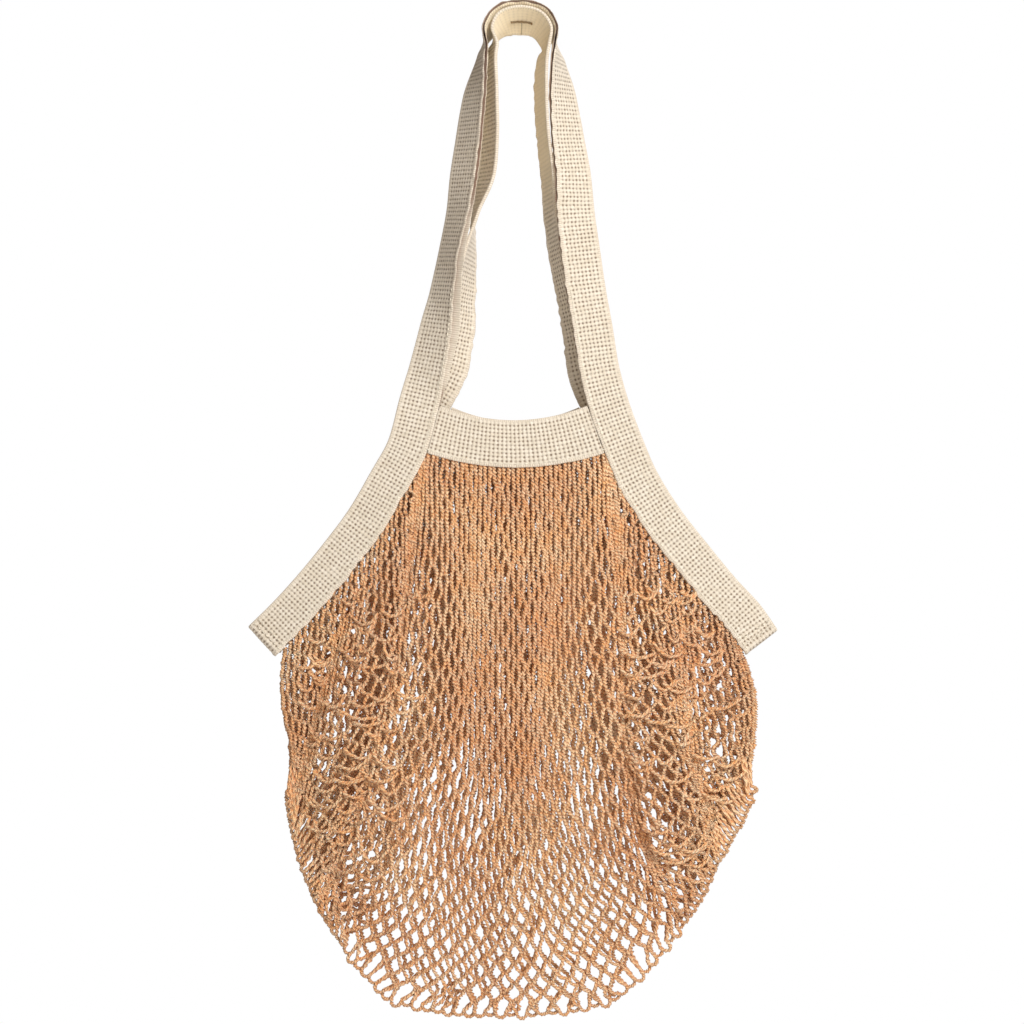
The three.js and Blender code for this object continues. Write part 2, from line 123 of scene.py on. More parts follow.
# lean: turn of the arch towards its left and right foot. bulge: of the panel at its middle.
# cord: its thickness beside the front net's. ruffle, fold: how far the net sways in its folds, everywhere
# and at the sides. shift, slide: of the folds and of the cords, so that the panels aren't the same.
HANDLES = {
    "front": dict(
        face=1, radius=24.0, top=FRONT_ARCH_TOP, legs=FRONT_LEGS, lean=(-10, -8),
        bulge=12.0, cord=1.0, ruffle=1.8, fold=10.5, shift=0.0, slide=0.0,
    ),
    "back": dict(
        face=-1, radius=18.6, top=BACK_ARCH_TOP, legs=BACK_LEGS, lean=(-12, 8),
        bulge=7.0, cord=1.38, ruffle=0.7, fold=5.5, shift=0.4, slide=0.6,
    ),
}


def placed(name, data):
    """A new object in the scene."""
    made = bpy.data.objects.new(name, data)
    bpy.context.scene.collection.objects.link(made)
    return made


def lerp(a, b, share):
    return a + (b - a) * share


def smoothstep(x, low, high):
    share = np.clip((np.asarray(x, float) - low) / (high - low), 0, 1)
    return share * share * (3 - 2 * share)


def unit(vectors):
    return vectors / np.linalg.norm(vectors, axis=-1, keepdims=True)


def spline(rows, places, tension=None):
    """Points and slopes of a curve through the rows, at places counted in rows.

    Without a tension its speed follows the rows' spacing, so that it doesn't overshoot.
    """
    rows = np.asarray(rows, float)
    rows = np.vstack([2 * rows[0] - rows[1], rows, 2 * rows[-1] - rows[-2]])
    row = np.clip(np.floor(places).astype(int), 0, len(rows) - 4)
    t = (places - row)[:, None]
    p0, p1, p2, p3 = (rows[row + k] for k in range(4))
    if tension is None:
        gaps = [np.linalg.norm(b - a, axis=1, keepdims=True) for a, b in ((p0, p1), (p1, p2), (p2, p3))]
        d0, d1, d2 = (np.sqrt(np.maximum(gap, 1e-6)) for gap in gaps)
        m1 = ((p1 - p0) / d0 - (p2 - p0) / (d0 + d1) + (p2 - p1) / d1) * d1
        m2 = ((p2 - p1) / d1 - (p3 - p1) / (d1 + d2) + (p3 - p2) / d2) * d1
    else:
        m1, m2 = tension * (p2 - p0), tension * (p3 - p1)
    c2 = 3 * (p2 - p1) - 2 * m1 - m2
    c3 = 2 * (p1 - p2) + m1 + m2
    return p1 + t * (m1 + t * (c2 + t * c3)), m1 + t * (2 * c2 + 3 * t * c3)


def lengths(points):
    """How far along a line each of its points lies."""
    return np.concatenate([[0], np.cumsum(np.linalg.norm(np.diff(points, axis=0), axis=1))])


def along_line(points, shares):
    """Points at shares of a line's length."""
    run = lengths(points)
    return np.column_stack([np.interp(np.asarray(shares) * run[-1], run, axis) for axis in points.T])


def ripple(rng, count, step, amount):
    """A smooth random wave with about one swing in every step points."""
    knots = rng.normal(0, amount, count // step + 4)
    return spline(knots[:, None], np.linspace(1, len(knots) - 3, count), 0.5)[0][:, 0]


# ---------------------------------------------------------------- webbing

# Open canvas: bundles of threads round a hole, cell by cell
CELL_ALONG, CELL_ACROSS = 2.95, 2.75
CUTS = 3  # mesh steps in a cell
BAND_STEPS = 132
OUT_OF_STEP = 0.37  # cells by which the rear layer's weave is shifted from the front one's
SELVEDGE_DROP = 0.35  # the selvedge is thinner than the weave by this
CURL_AT, CURL_WIDTH = 1.1, 1.0  # where the selvedge rolls, from its edge
CREVICE = 0.7  # half the gap between the two layers at their selvedges


def rim_depth(x, z):
    spread = np.where(x < 0, LEFT_SPREAD, RIGHT_SPREAD)
    reach = np.where(x < 0, LEFT_REACH, RIGHT_REACH) - spread
    share = ((np.abs(x) - spread) * reach + (-LEG_DROP - z) * BINDING_FALL) / (reach**2 + BINDING_FALL**2)
    return lerp(MOUTH_GAP / 2, CORNER_DEPTH, np.clip(share, 0, 1))


def leg_rows(spec, sign, spread, reach):
    """A handle's rows from under the peg to a corner: x, y, z, turn, lap, slot."""
    face = spec["face"]
    rows = []
    for drop, left, left_turn, right, right_turn, lap in spec["legs"]:
        out, turn = (left, left_turn) if sign < 0 else (right, right_turn)
        rows.append((
            sign * lerp(spec["radius"], spread, out),
            -face * MOUTH_GAP / 2 * smoothstep(drop, PARTING_FROM, PARTING_TO),
            -LEG_DROP * drop,
            face * turn,
            lap * TAPE_WIDTH if sign < 0 else 0,
            lerp(SLOT_LEG, SLOT_BINDING, smoothstep(drop, PARTING_TO, BINDING_FROM)),
        ))
    for fall, left, right in BINDING:
        x = sign * lerp(spread, reach, left if sign < 0 else right)
        z = -LEG_DROP - BINDING_FALL * fall
        rows.append((x, -face * rim_depth(x, z), z, 0, 0, SLOT_BINDING))
    return rows


def handle_run(spec):
    """Stations of a handle's webbing, a mesh step apart, from its left corner to its right one."""
    arch = []
    for angle in np.radians([180, 150, 120, 90, 60, 30, 0]):
        sine, cosine = math.sin(angle), math.cos(angle)
        x = math.copysign(abs(cosine) ** ARCH_SQUARE, cosine) * spec["radius"]
        z = spec["top"] - spec["radius"] * (1 - sine**ARCH_SQUARE)
        turn = spec["face"] * 90 + ARCH_TILT * sine**0.7
        # Towards the legs the straps lean against each other
        turn += spec["lean"][cosine > 0] * (1 - sine)
        if spec["face"] > 0:
            x += math.copysign(ARCH_FEET, cosine) * (1 - sine) ** 2
        arch.append((x, 0, z, turn, 0, SLOT_ARCH))
    left = leg_rows(spec, -1, LEFT_SPREAD, LEFT_REACH)
    right = leg_rows(spec, 1, RIGHT_SPREAD, RIGHT_REACH)
    rows = np.array(left[::-1] + arch + right, float)
    fine = np.linspace(0, len(rows) - 1, 4000)
    run = lengths(spline(rows[:, :3], fine)[0])
    count = round(run[-1] / (CELL_ALONG / CUTS))
    places = np.interp(np.linspace(0, run[-1], count + 1), run, fine)
    at, slope = spline(rows[:, :3], places)
    turn, lap, slot = spline(rows[:, 3:], places, 0.3)[0].T
    tangent = unit(slope * (1, 0, 1))
    inward = np.column_stack([tangent[:, 2], 0 * turn, -tangent[:, 0]])
    cos, sin = np.cos(np.radians(turn))[:, None], np.sin(np.radians(turn))[:, None]
    return dict(
        at=at,
        tangent=tangent,
        along=inward * cos + FRONT * sin,
        out=(FRONT * cos - inward * sin) * spec["face"],
        slot=slot,
        lap=np.maximum(0, lap),
        width=np.full(count + 1, TAPE_WIDTH),
        cell=np.arange(count + 1) / CUTS,
    )


def with_corners(run, face):
    """Adds the quarter turns at the corners of the mouth, where the two handles' ends meet."""
    angles = np.radians([22.5, 45, 67.5, 90])

    def turned(i, outward):
        part = {key: np.repeat(value[[i]], len(angles), axis=0) for key, value in run.items()}
        sin, cos = np.sin(angles)[:, None], np.cos(angles)[:, None]
        part["at"] = part["at"] + CORNER_BEND * (outward * sin - FRONT * face * (1 - cos))
        part["out"] = FRONT * face * cos + outward * sin
        return part

    first, last = turned(0, -run["tangent"][0]), turned(-1, run["tangent"][-1])
    first["cell"] = first["cell"] - np.arange(1, 5) / CUTS
    last["cell"] = last["cell"] + np.arange(1, 5) / CUTS
    return {key: np.concatenate([first[key][::-1], run[key], last[key]]) for key in run}


def band_run(face, left, right):
    """Stations of the band between a handle's left and right selvedges."""

    def level(line, z):
        return np.array([np.interp(-z, -line[:, 2], axis) for axis in line.T])

    def between(z, share):
        p = lerp(level(left, z), level(right, z), share[:, None])
        p[:, 0] += END_GAP * (1 - 2 * share)
        p[:, 1] = -face * MOUTH_GAP / 2
        p[:, 2] -= BAND_SAG * (1 - (2 * share - 1) ** 2)
        return p

    share = np.linspace(0, 1, BAND_STEPS + 1)
    high, low = between(-HANDLE_DROP, share), between(-BAND_LOW, share)
    middle = (high + low) / 2
    ones = np.ones(BAND_STEPS + 1)
    return dict(
        at=middle,
        along=unit(low - high),
        out=np.outer(ones, FRONT * face),
        slot=SLOT_BINDING * ones,
        lap=0 * ones,
        width=np.linalg.norm(low - high, axis=1),
        cell=lengths(middle) / CELL_ALONG,
    )


def webbing_mesh(name, run, width, cells, seed):
    """The folded webbing as one closed skin, with its thread cells kept on its points."""
    rng = np.random.default_rng(seed)
    count = len(run["at"])
    closed = PLY + SLOT_ARCH / 2
    fold = 0.8 * closed
    margin = (width - cells * CELL_ACROSS) / 2
    distance = np.concatenate([
        margin * np.array([0, 0.3, 0.65]),
        margin + np.arange(CUTS * cells + 1) * CELL_ACROSS / CUTS,
        [width - 0.6 * margin, width - fold],
    ])
    across = (distance - margin) / CELL_ACROSS
    is_open = ((across >= 0) & (across <= cells)).astype(float)
    share = distance / (width - fold)
    half = run["width"][:, None] / 2
    slot = run["slot"][:, None]
    thick = PLY + slot / 2
    lap = run["lap"][:, None]
    columns = []

    # inner marks the rubbed face with 1 and the crevice between the layers with -1, where the canvas paints
    # shade
    def column(x, y, warp, opened=0.0, shift=0.0, inner=0.0):
        columns.append((x + 0 * half, y + 0 * half, warp, opened, shift, inner))

    # Each layer's edge waves, less where a band lies beside it, and its face swells a little
    height = run["at"][:, 2]
    calm = 1 - 0.8 * smoothstep(height, -325, -305) * (1 - smoothstep(height, -262, -240))
    waves = [(calm * (ripple(rng, count, 9, 0.2) + ripple(rng, count, 3, 0.32)))[:, None] for _ in range(2)]
    swells = [ripple(rng, count, 14, 0.16)[:, None] for _ in range(2)]
    curls = [(0.3 + ripple(rng, count, 3, 0.26))[:, None] for _ in range(2)]
    # The face round the peg is rubbed flat, so that its holes are closed
    rubbed = smoothstep(height, -150, -90)

    def layer(i, side):
        edge = half + (lap if side < 0 else 0) + waves[side > 0]
        x = lerp(edge, fold - half, share[i])
        y = closed + (thick - closed) * (1 - share[i]) + swells[side > 0] * math.sin(math.pi * share[i])
        if i == 0:
            y = y - SELVEDGE_DROP
        y = y + curls[side > 0] * math.exp(-((distance[i] - CURL_AT) / CURL_WIDTH) ** 2)
        opened = is_open[i] * (1 - 0.85 * rubbed if side < 0 else 1.0)
        if side > 0:
            column(x, y, across[i], opened)
        else:
            column(x, -y, across[i], opened, OUT_OF_STEP, rubbed)

    def edge_of(side):
        reach = half + (lap if side < 0 else 0) + waves[side > 0]
        inner = half - SLOT_DEPTH
        # The two layers part at their selvedges, with a dark crevice between them; its points are marked -1
        # so that the canvas paints shade there
        mouth = np.maximum(slot / 2, CREVICE)
        bare = smoothstep(run["lap"], 0.2, 2.0) if side < 0 else 0.0
        trio = [
            (reach + 0.25, side * (thick + mouth) / 2, 0.0),
            (reach - 0.2, side * mouth, bare - 1.0),
            (inner, side * slot / 2, -1.0),
        ]
        for x, y, crevice_shade_mark in trio if side < 0 else trio[::-1]:
            column(x, y, across[0], inner=crevice_shade_mark)

    for i in range(len(distance)):
        layer(i, 1)
    for angle in np.radians([30, 60, 90, 120, 150]):
        column(fold * (1 - math.sin(angle)) - half, closed * math.cos(angle), across[-1])
    for i in reversed(range(len(distance))):
        layer(i, -1)
    edge_of(-1)
    edge_of(1)

    points = np.stack([run["at"] + x * run["along"] + y * run["out"] for x, y, *_ in columns], axis=1)
    weave = np.zeros_like(points)
    # Marks: 1 on the rubbed face, which has turned yellow; -1 in the crevice, where the canvas paints shade
    yellowing_and_crevice_shade = np.zeros(points.shape[:2])  # 1 on the rubbed face, -1 in the crevice between the layers
    for i, (_, _, warp, opened, shift, inner) in enumerate(columns):
        yellowing_and_crevice_shade[:, i] = inner
        weave[:, i] = np.column_stack([run["cell"] + shift, np.full(count, warp), opened + np.zeros(count)])
    ring = len(columns)
    here = np.arange(ring)
    nearby = np.roll(here, -1)
    starts = (np.arange(count - 1) * ring)[:, None]
    quads = np.stack([starts + here, starts + nearby, starts + ring + nearby, starts + ring + here], axis=-1)
    faces = quads.reshape(-1, 4).tolist()
    faces += [list(range(ring))[::-1], list(range((count - 1) * ring, count * ring))]
    flat = points.reshape(-1, 3)
    corners = flat[quads.reshape(-1, 4)]
    volume = np.einsum("ij,ij->", corners[:, 0], np.cross(corners[:, 1], corners[:, 2]))
    if volume < 0:
        faces = [face[::-1] for face in faces]
    mesh = bpy.data.meshes.new(name)
    mesh.from_pydata((flat * MM).tolist(), [], faces)
    mesh.attributes.new("weave", "FLOAT_VECTOR", "POINT").data.foreach_set("vector", weave.ravel())
    mesh.attributes.new("yellowing_and_crevice_shade", "FLOAT", "POINT").data.foreach_set("value", yellowing_and_crevice_shade.ravel())
    mesh.shade_smooth()
    return mesh


# ---------------------------------------------------------------- node trees


def add(tree, kind, inputs=None, **settings):
    """Adds a node with its settings, its values and its links."""
    made = tree.nodes.new(kind)
    for key, value in settings.items():
        setattr(made, key, value)
    for socket, value in (inputs or {}).items():
        if isinstance(value, bpy.types.NodeSocket):
            tree.links.new(value, made.inputs[socket])
        else:
            made.inputs[socket].default_value = value
    return made


def maths(tree, operation, *values):
    return add(tree, "ShaderNodeMath", dict(enumerate(values)), operation=operation).outputs[0]


def times(tree, a, b):
    return maths(tree, "MULTIPLY", a, b)


def new_tree(name, sizes):
    """A node tree with its named inputs, and the sockets that start and end it."""
    tree = bpy.data.node_groups.new(name, "GeometryNodeTree")
    tree.interface.new_socket("Geometry", in_out="OUTPUT", socket_type="NodeSocketGeometry")
    tree.interface.new_socket("Geometry", in_out="INPUT", socket_type="NodeSocketGeometry")
    for label, kind in sizes.items():
        tree.interface.new_socket(label, in_out="INPUT", socket_type="NodeSocket" + kind)
    return tree, add(tree, "NodeGroupInput").outputs, add(tree, "NodeGroupOutput").inputs


def finish_tree(tree, shape, material, end):
    real = add(tree, "GeometryNodeRealizeInstances", {"Geometry": shape})
    smooth = add(tree, "GeometryNodeSetShadeSmooth", {"Geometry": real.outputs[0]})
    done = add(tree, "GeometryNodeSetMaterial", {"Geometry": smooth.outputs[0], "Material": material})
    tree.links.new(done.outputs[0], end["Geometry"])
    return tree


def weave_waves(tree, vector):
    """From a point's thread cells: 0 on the threads and 1 in the middle of a hole."""
    split = add(tree, "ShaderNodeSeparateXYZ", {0: vector}).outputs
    waves = []
    for axis in (0, 1):
        sine = maths(tree, "SINE", times(tree, split[axis], math.pi))
        waves.append(times(tree, sine, sine))
    return times(tree, times(tree, *waves), split[2]), waves, split


def relief_tree():
    """Sinks the webbing's holes between its bundles of threads."""
    tree, start, end = new_tree("woven relief", {"Hole depth": "Float", "Material": "Material"})
    cells = add(tree, "GeometryNodeInputNamedAttribute", {"Name": "weave"}, data_type="FLOAT_VECTOR")
    hole, waves, _ = weave_waves(tree, cells.outputs[0])
    furrow = maths(tree, "MAXIMUM", waves[0], waves[1])
    sink = times(tree, maths(tree, "MULTIPLY_ADD", furrow, 0.25, hole), start["Hole depth"])
    normal = add(tree, "GeometryNodeInputNormal").outputs[0]
    inward = times(tree, sink, -1.0)
    offset = add(tree, "ShaderNodeVectorMath", {0: normal, "Scale": inward}, operation="SCALE")
    moved = add(tree, "GeometryNodeSetPosition", {"Geometry": start["Geometry"], "Offset": offset.outputs[0]})
    return finish_tree(tree, moved.outputs[0], start["Material"], end)


def stored(tree, shape, name, value, kind):
    sizes = {"Geometry": shape, "Name": name, "Value": value}
    return add(tree, "GeometryNodeStoreNamedAttribute", sizes, data_type=kind, domain="POINT").outputs[0]


def cord_tree():
    """Gives every strand the round, link by link body of a knitted cord."""
    sizes = {"Link swell": "Float", "Sides": "Int", "Material": "Material"}
    tree, start, end = new_tree("knitted cord", sizes)
    curve = add(tree, "GeometryNodeMeshToCurve", {"Mesh": start["Geometry"]}).outputs[0]
    spot = add(tree, "GeometryNodeSplineParameter").outputs
    links = times(tree, spot["Index"], 0.5)
    run = stored(tree, curve, "links", links, "FLOAT")
    sizes = {"Resolution": start["Sides"], "Radius": 1.0}
    ring = add(tree, "GeometryNodeCurvePrimitiveCircle", sizes, mode="RADIUS")
    rim = add(tree, "GeometryNodeInputPosition").outputs[0]
    side = stored(tree, ring.outputs[0], "side", rim, "FLOAT_VECTOR")
    odd = maths(tree, "SUBTRACT", maths(tree, "MODULO", spot["Index"], 2.0), 0.5)
    chance = add(tree, "FunctionNodeRandomValue", {2: -0.7, 3: 0.7, "Seed": 5}, data_type="FLOAT")
    uneven = maths(tree, "ADD", odd, chance.outputs[1])
    swell = maths(tree, "MULTIPLY_ADD", uneven, start["Link swell"], 1.0)
    radius = add(tree, "GeometryNodeInputNamedAttribute", {"Name": "radius_mm"}, data_type="FLOAT").outputs[0]
    scale = times(tree, times(tree, radius, swell), MM)
    body = add(
        tree, "GeometryNodeCurveToMesh",
        {"Curve": run, "Profile Curve": side, "Scale": scale, "Fill Caps": True},
    )
    return finish_tree(tree, body.outputs[0], start["Material"], end)


def stitch_tree():
    """Lays stitches of thread end to end along a seam."""
    sizes = {"Pitch": "Float", "Stitch length": "Float", "Thread": "Float", "Material": "Material"}
    tree, start, end = new_tree("row of stitches", sizes)
    curve = add(tree, "GeometryNodeMeshToCurve", {"Mesh": start["Geometry"]}).outputs[0]
    spots = add(tree, "GeometryNodeResampleCurve", {"Curve": curve, "Length": start["Pitch"]}, mode="LENGTH")
    bead = add(tree, "GeometryNodeMeshUVSphere", {"Segments": 6, "Rings": 4, "Radius": 0.5})
    tangent = add(tree, "GeometryNodeInputTangent").outputs[0]
    turn = add(tree, "FunctionNodeAlignRotationToVector", {"Vector": tangent}, axis="X")
    thread = start["Thread"]
    size = add(tree, "ShaderNodeCombineXYZ", {0: start["Stitch length"], 1: thread, 2: thread})
    links = {"Points": spots, "Instance": bead, "Rotation": turn, "Scale": size}
    links = {socket: node.outputs[0] for socket, node in links.items()}
    laid = add(tree, "GeometryNodeInstanceOnPoints", links)
    return finish_tree(tree, laid.outputs[0], start["Material"], end)


def made_plain(name, mesh, tree, values):
    """An object whose plain mesh is what the node tree makes of a rough one."""
    piece = placed(name, mesh)
    step = piece.modifiers.new("making", "NODES")
    step.node_group = tree
    for item in tree.interface.items_tree:
        if item.in_out == "INPUT" and item.name in values:
            step[item.identifier] = values[item.name]
    graph = bpy.context.evaluated_depsgraph_get()
    made = bpy.data.meshes.new_from_object(
        piece.evaluated_get(graph), preserve_all_data_layers=True, depsgraph=graph
    )
    piece.modifiers.remove(step)
    piece.data = made
    made.name = name
    return piece


# ---------------------------------------------------------------- materials


def linear(text):
    """An sRGB hex colour as the linear one that a shader takes."""
    parts = [int(text[i:i + 2], 16) / 255 for i in (1, 3, 5)]
    return (*(p / 12.92 if p <= 0.04045 else ((p + 0.055) / 1.055) ** 2.4 for p in parts), 1.0)


def new_material(name, **sockets):
    material = bpy.data.materials.new(name)
    material.use_nodes = True
    tree = material.node_tree
    shader = tree.nodes["Principled BSDF"]
    for key, value in sockets.items():
        shader.inputs[key.replace("_", " ")].default_value = value
    return material, tree, shader


def mix(tree, factor, a, b):
    return add(tree, "ShaderNodeMix", {0: factor, 6: a, 7: b}, data_type="RGBA").outputs[2]


def ranged(tree, value, low, high, to_low=0.0, to_high=1.0):
    return add(tree, "ShaderNodeMapRange", {0: value, 1: low, 2: high, 3: to_low, 4: to_high}).outputs[0]


def noise(tree, vector, size_mm, detail=2.0):
    """Noise whose lumps are about this many millimetres across."""
    sizes = {"Vector": vector, "Scale": 1 / (size_mm * MM), "Detail": detail}
    return add(tree, "ShaderNodeTexNoise", sizes).outputs["Fac"]


def paint(tree, shader, colour, height, strength, distance):
    """Gives a shader its colour, and its height as a bump."""
    tree.links.new(colour, shader.inputs["Base Color"])
    bump = add(tree, "ShaderNodeBump", {"Strength": strength, "Distance": distance * MM, "Height": height})
    tree.links.new(bump.outputs[0], shader.inputs["Normal"])


SELVEDGE_RIBS, BUNDLE_THREADS = 2, 3  # to a cell


def open_canvas(name):
    """Undyed open cotton canvas: matt, fuzzy thread bundles with a shadow in every hole."""
    material, tree, shader = new_material(name, Roughness=0.95, Sheen_Weight=0.25, Sheen_Roughness=0.6)
    place = add(tree, "ShaderNodeTexCoord").outputs["Object"]
    cells = add(tree, "ShaderNodeAttribute", attribute_name="weave").outputs["Vector"]
    hole, waves, split = weave_waves(tree, cells)
    patchy = noise(tree, place, 2.2)
    cotton = mix(tree, ranged(tree, patchy, 0.3, 0.7), linear("#e6dbc8"), linear("#f2e8d8"))
    worn = ranged(tree, noise(tree, place, 28, 3.0), 0.35, 0.75)
    cotton = mix(tree, times(tree, worn, 0.22), cotton, linear("#dccbb2"))
    # A bundle's own tone: each thread along and across takes up the light a little differently
    whole = [maths(tree, "ROUND", split[axis]) for axis in (0, 1)]
    bundle = add(tree, "ShaderNodeCombineXYZ", {0: whole[0], 1: whole[1], 2: 0.0}).outputs[0]
    tone = add(tree, "ShaderNodeTexWhiteNoise", {"Vector": bundle}, noise_dimensions="3D").outputs["Value"]
    cotton = mix(tree, times(tree, tone, 0.3), cotton, linear("#cdbda2"))
    # The rubbed face round the peg has yellowed
    rubbed_and_crevice_mark = add(tree, "ShaderNodeAttribute", attribute_name="yellowing_and_crevice_shade").outputs["Fac"]
    cotton = mix(tree, times(tree, rubbed_and_crevice_mark, 0.8), cotton, linear("#fae8c2"))
    # Painted shade between the layers, where little light reaches: the crevice's canvas is painted dark brown
    painted_crevice_shade = ranged(tree, rubbed_and_crevice_mark, -1.0, 0.0, 0.85, 0.0)
    # The selvedges have no holes, only the turns of the weft, with painted shade in the grooves between them
    turns = maths(tree, "SINE", times(tree, split[0], math.tau * SELVEDGE_RIBS))
    selvedge = ranged(tree, split[2], 0.0, 0.1, 1.0, 0.0)
    weft_groove_shade = times(tree, ranged(tree, turns, 0.0, 1.0, 0.0, 0.6), selvedge)
    cotton = mix(tree, weft_groove_shade, cotton, linear("#b3a08a"))
    cotton = mix(tree, painted_crevice_shade, cotton, linear("#7d563c"))
    # Painted shade in the furrows between the bundles, and a deep painted shadow where two furrows cross
    furrow = times(tree, maths(tree, "POWER", waves[1], 2.0), 0.6)
    furrow = maths(tree, "ADD", maths(tree, "POWER", waves[0], 2.0), furrow)
    furrow = times(tree, furrow, ranged(tree, rubbed_and_crevice_mark, 0.0, 1.0, 1.0, 0.3))
    furrow = times(tree, furrow, ranged(tree, split[2], 0.0, 0.1, 0.3, 1.0))
    rough = ranged(tree, noise(tree, place, 1.6), 0.3, 0.7, 0.35, 1.25)
    shade = times(tree, furrow, 0.24)
    shade = maths(tree, "ADD", maths(tree, "POWER", hole, 1.4), shade)
    shade = add(tree, "ShaderNodeMath", {0: shade, 1: rough}, operation="MULTIPLY", use_clamp=True).outputs[0]
    colour = mix(tree, shade, cotton, linear("#806c57"))
    # A bundle is three or four threads, a fine slanting rib under the fuzz
    slant = maths(tree, "ADD", split[0], split[1])
    twist = maths(tree, "SINE", times(tree, slant, math.tau * BUNDLE_THREADS))
    fuzz = noise(tree, place, 0.55, 3.0)
    height = maths(tree, "MULTIPLY_ADD", twist, 0.12, fuzz)
    height = maths(tree, "MULTIPLY_ADD", furrow, -0.5, height)
    paint(tree, shader, colour, height, 0.8, 0.4)
    return material


def knitted_cord(name, light, middle, deep_dye_and_crease_shade):
    """Dyed cotton cord knitted as a chain: matt, with painted shade darkening the creases between the links.
    """
    material, tree, shader = new_material(name, Roughness=0.9, Sheen_Weight=0.18, Sheen_Roughness=0.5)
    place = add(tree, "ShaderNodeTexCoord").outputs["Object"]
    links = add(tree, "ShaderNodeAttribute", attribute_name="links").outputs["Fac"]
    side = add(tree, "ShaderNodeAttribute", attribute_name="side").outputs["Vector"]
    x, y, _ = add(tree, "ShaderNodeSeparateXYZ", {0: side}).outputs
    # The creases between links wind round the cord, unevenly as hand-knitted loops do
    uneven = ranged(tree, noise(tree, place, 2.4), 0.2, 0.8, -1.6, 1.6)
    around = maths(tree, "MULTIPLY_ADD", maths(tree, "ARCTAN2", y, x), 2.0, uneven)
    phase = maths(tree, "MULTIPLY_ADD", links, 2 * math.pi, around)
    link = maths(tree, "MULTIPLY_ADD", maths(tree, "COSINE", phase), -0.5, 0.5)
    patchy = maths(tree, "ADD", noise(tree, place, 9), noise(tree, place, 1.6))
    dyed = mix(tree, ranged(tree, patchy, 0.75, 1.25), linear(middle), linear(light))
    broad = ranged(tree, noise(tree, place, 60, 1.0), 0.35, 0.65, 0.0, 0.25)
    dyed = mix(tree, broad, dyed, linear(deep_dye_and_crease_shade))
    # Painted shade in the creases between links, in the darker dye colour
    crease_shade = ranged(tree, link, 0.0, 0.55, 0.6, 0.0)
    colour = mix(tree, crease_shade, dyed, linear(deep_dye_and_crease_shade))
    height = maths(tree, "MULTIPLY_ADD", noise(tree, place, 0.7, 3.0), 0.9, link)
    paint(tree, shader, colour, height, 1.0, 0.9)
    return material


def sewing_thread(name, colour):
    """Twisted cotton sewing thread, with the slant of its twist as a fine bump."""
    material, tree, shader = new_material(name, Roughness=0.75, Sheen_Weight=0.2)
    place = add(tree, "ShaderNodeTexCoord").outputs["Object"]
    tone = ranged(tree, noise(tree, place, 1.5), 0.3, 0.7)
    dark = [channel * 0.7 for channel in linear(colour)[:3]] + [1.0]
    # A wave texture has twenty bands to its unit, and here they lie half a millimetre apart
    scale = 1 / (20 * 0.5 * MM)
    twist = add(tree, "ShaderNodeTexWave", {"Vector": place, "Scale": scale}, bands_direction="DIAGONAL")
    paint(tree, shader, mix(tree, tone, dark, linear(colour)), twist.outputs["Fac"], 0.4, 0.1)
    return material


# ---------------------------------------------------------------- net

STRANDS = 96  # cords of a panel, side by side
STRAP_STRANDS = 28  # of them, those that start in the binding of one handle
NET_INSERT = 4.5
BAR = 9.6  # cord between two kisses
ROW_TOP, ROW_BOTTOM, ROW_SIDE = 9.0, 7.4, 6.4
BAR_STEPS = 7
FREE_FALL = 0.4  # share of the side along which the net is folded over, above the linked seam
LINK_WOBBLE = 0.4  # sideways step from link to link
FAN_MIDDLE, FAN_SIDE = 5.5, 2.7  # above 1 the cords hang straight for long and spread near the bottom
CORD_MIDDLE, CORD_SIDE, CORD_BOTTOM = 1.45, 1.3, 1.3  # radii
CORD_BOUND = 1.35  # radius in the binding
FOLD_PITCH = 0.16  # share of the panel that one upright fold takes
MOST_ROWS = 90
SETTLE_STEPS, SETTLE_HOLD, SETTLE_PULL = 260, 0.02, 0.45
SLACK_BELOW = -395  # height under which slack bars sag across the folds
STITCH_EDGE = 2.4  # from the selvedge to the row of stitches


def selvedge_line(run, sign):
    """A handle's selvedge on one side, from above the bands down to the corner."""
    at, along = run["at"], run["along"]
    leg = (at[:, 0] * sign > 0) & (at[:, 2] < -HANDLE_DROP * PARTING_TO)
    points = (at + along * TAPE_WIDTH / 2)[leg]
    return points[::-1] if sign < 0 else points


def bound_side(line, sign, spread, reach):
    """Where a panel lies in a handle's binding, from the band down to the corner."""
    outward = unit(np.array([sign * BINDING_FALL, reach - spread]))
    share = np.linspace(0, 1, 60)
    z = lerp(NET_INSERT - BAND_LOW, line[-1, 2] + END_GAP, share)
    x = np.interp(-z, -line[:, 2], line[:, 0])
    insert = lerp(NET_INSERT, -END_GAP, smoothstep(share, 0.8, 1))
    return np.column_stack([x, z]) + outward * insert[:, None]


def free_side(corner, line, side, sign, reach):
    rows = [corner]
    for row in NET_SIDES:
        rows.append((sign * reach * row[side], line[-1, 2] - SIDE_FALL * row[0]))
    return spline(rows, np.linspace(0, len(rows) - 1, 120), 0.5)[0]


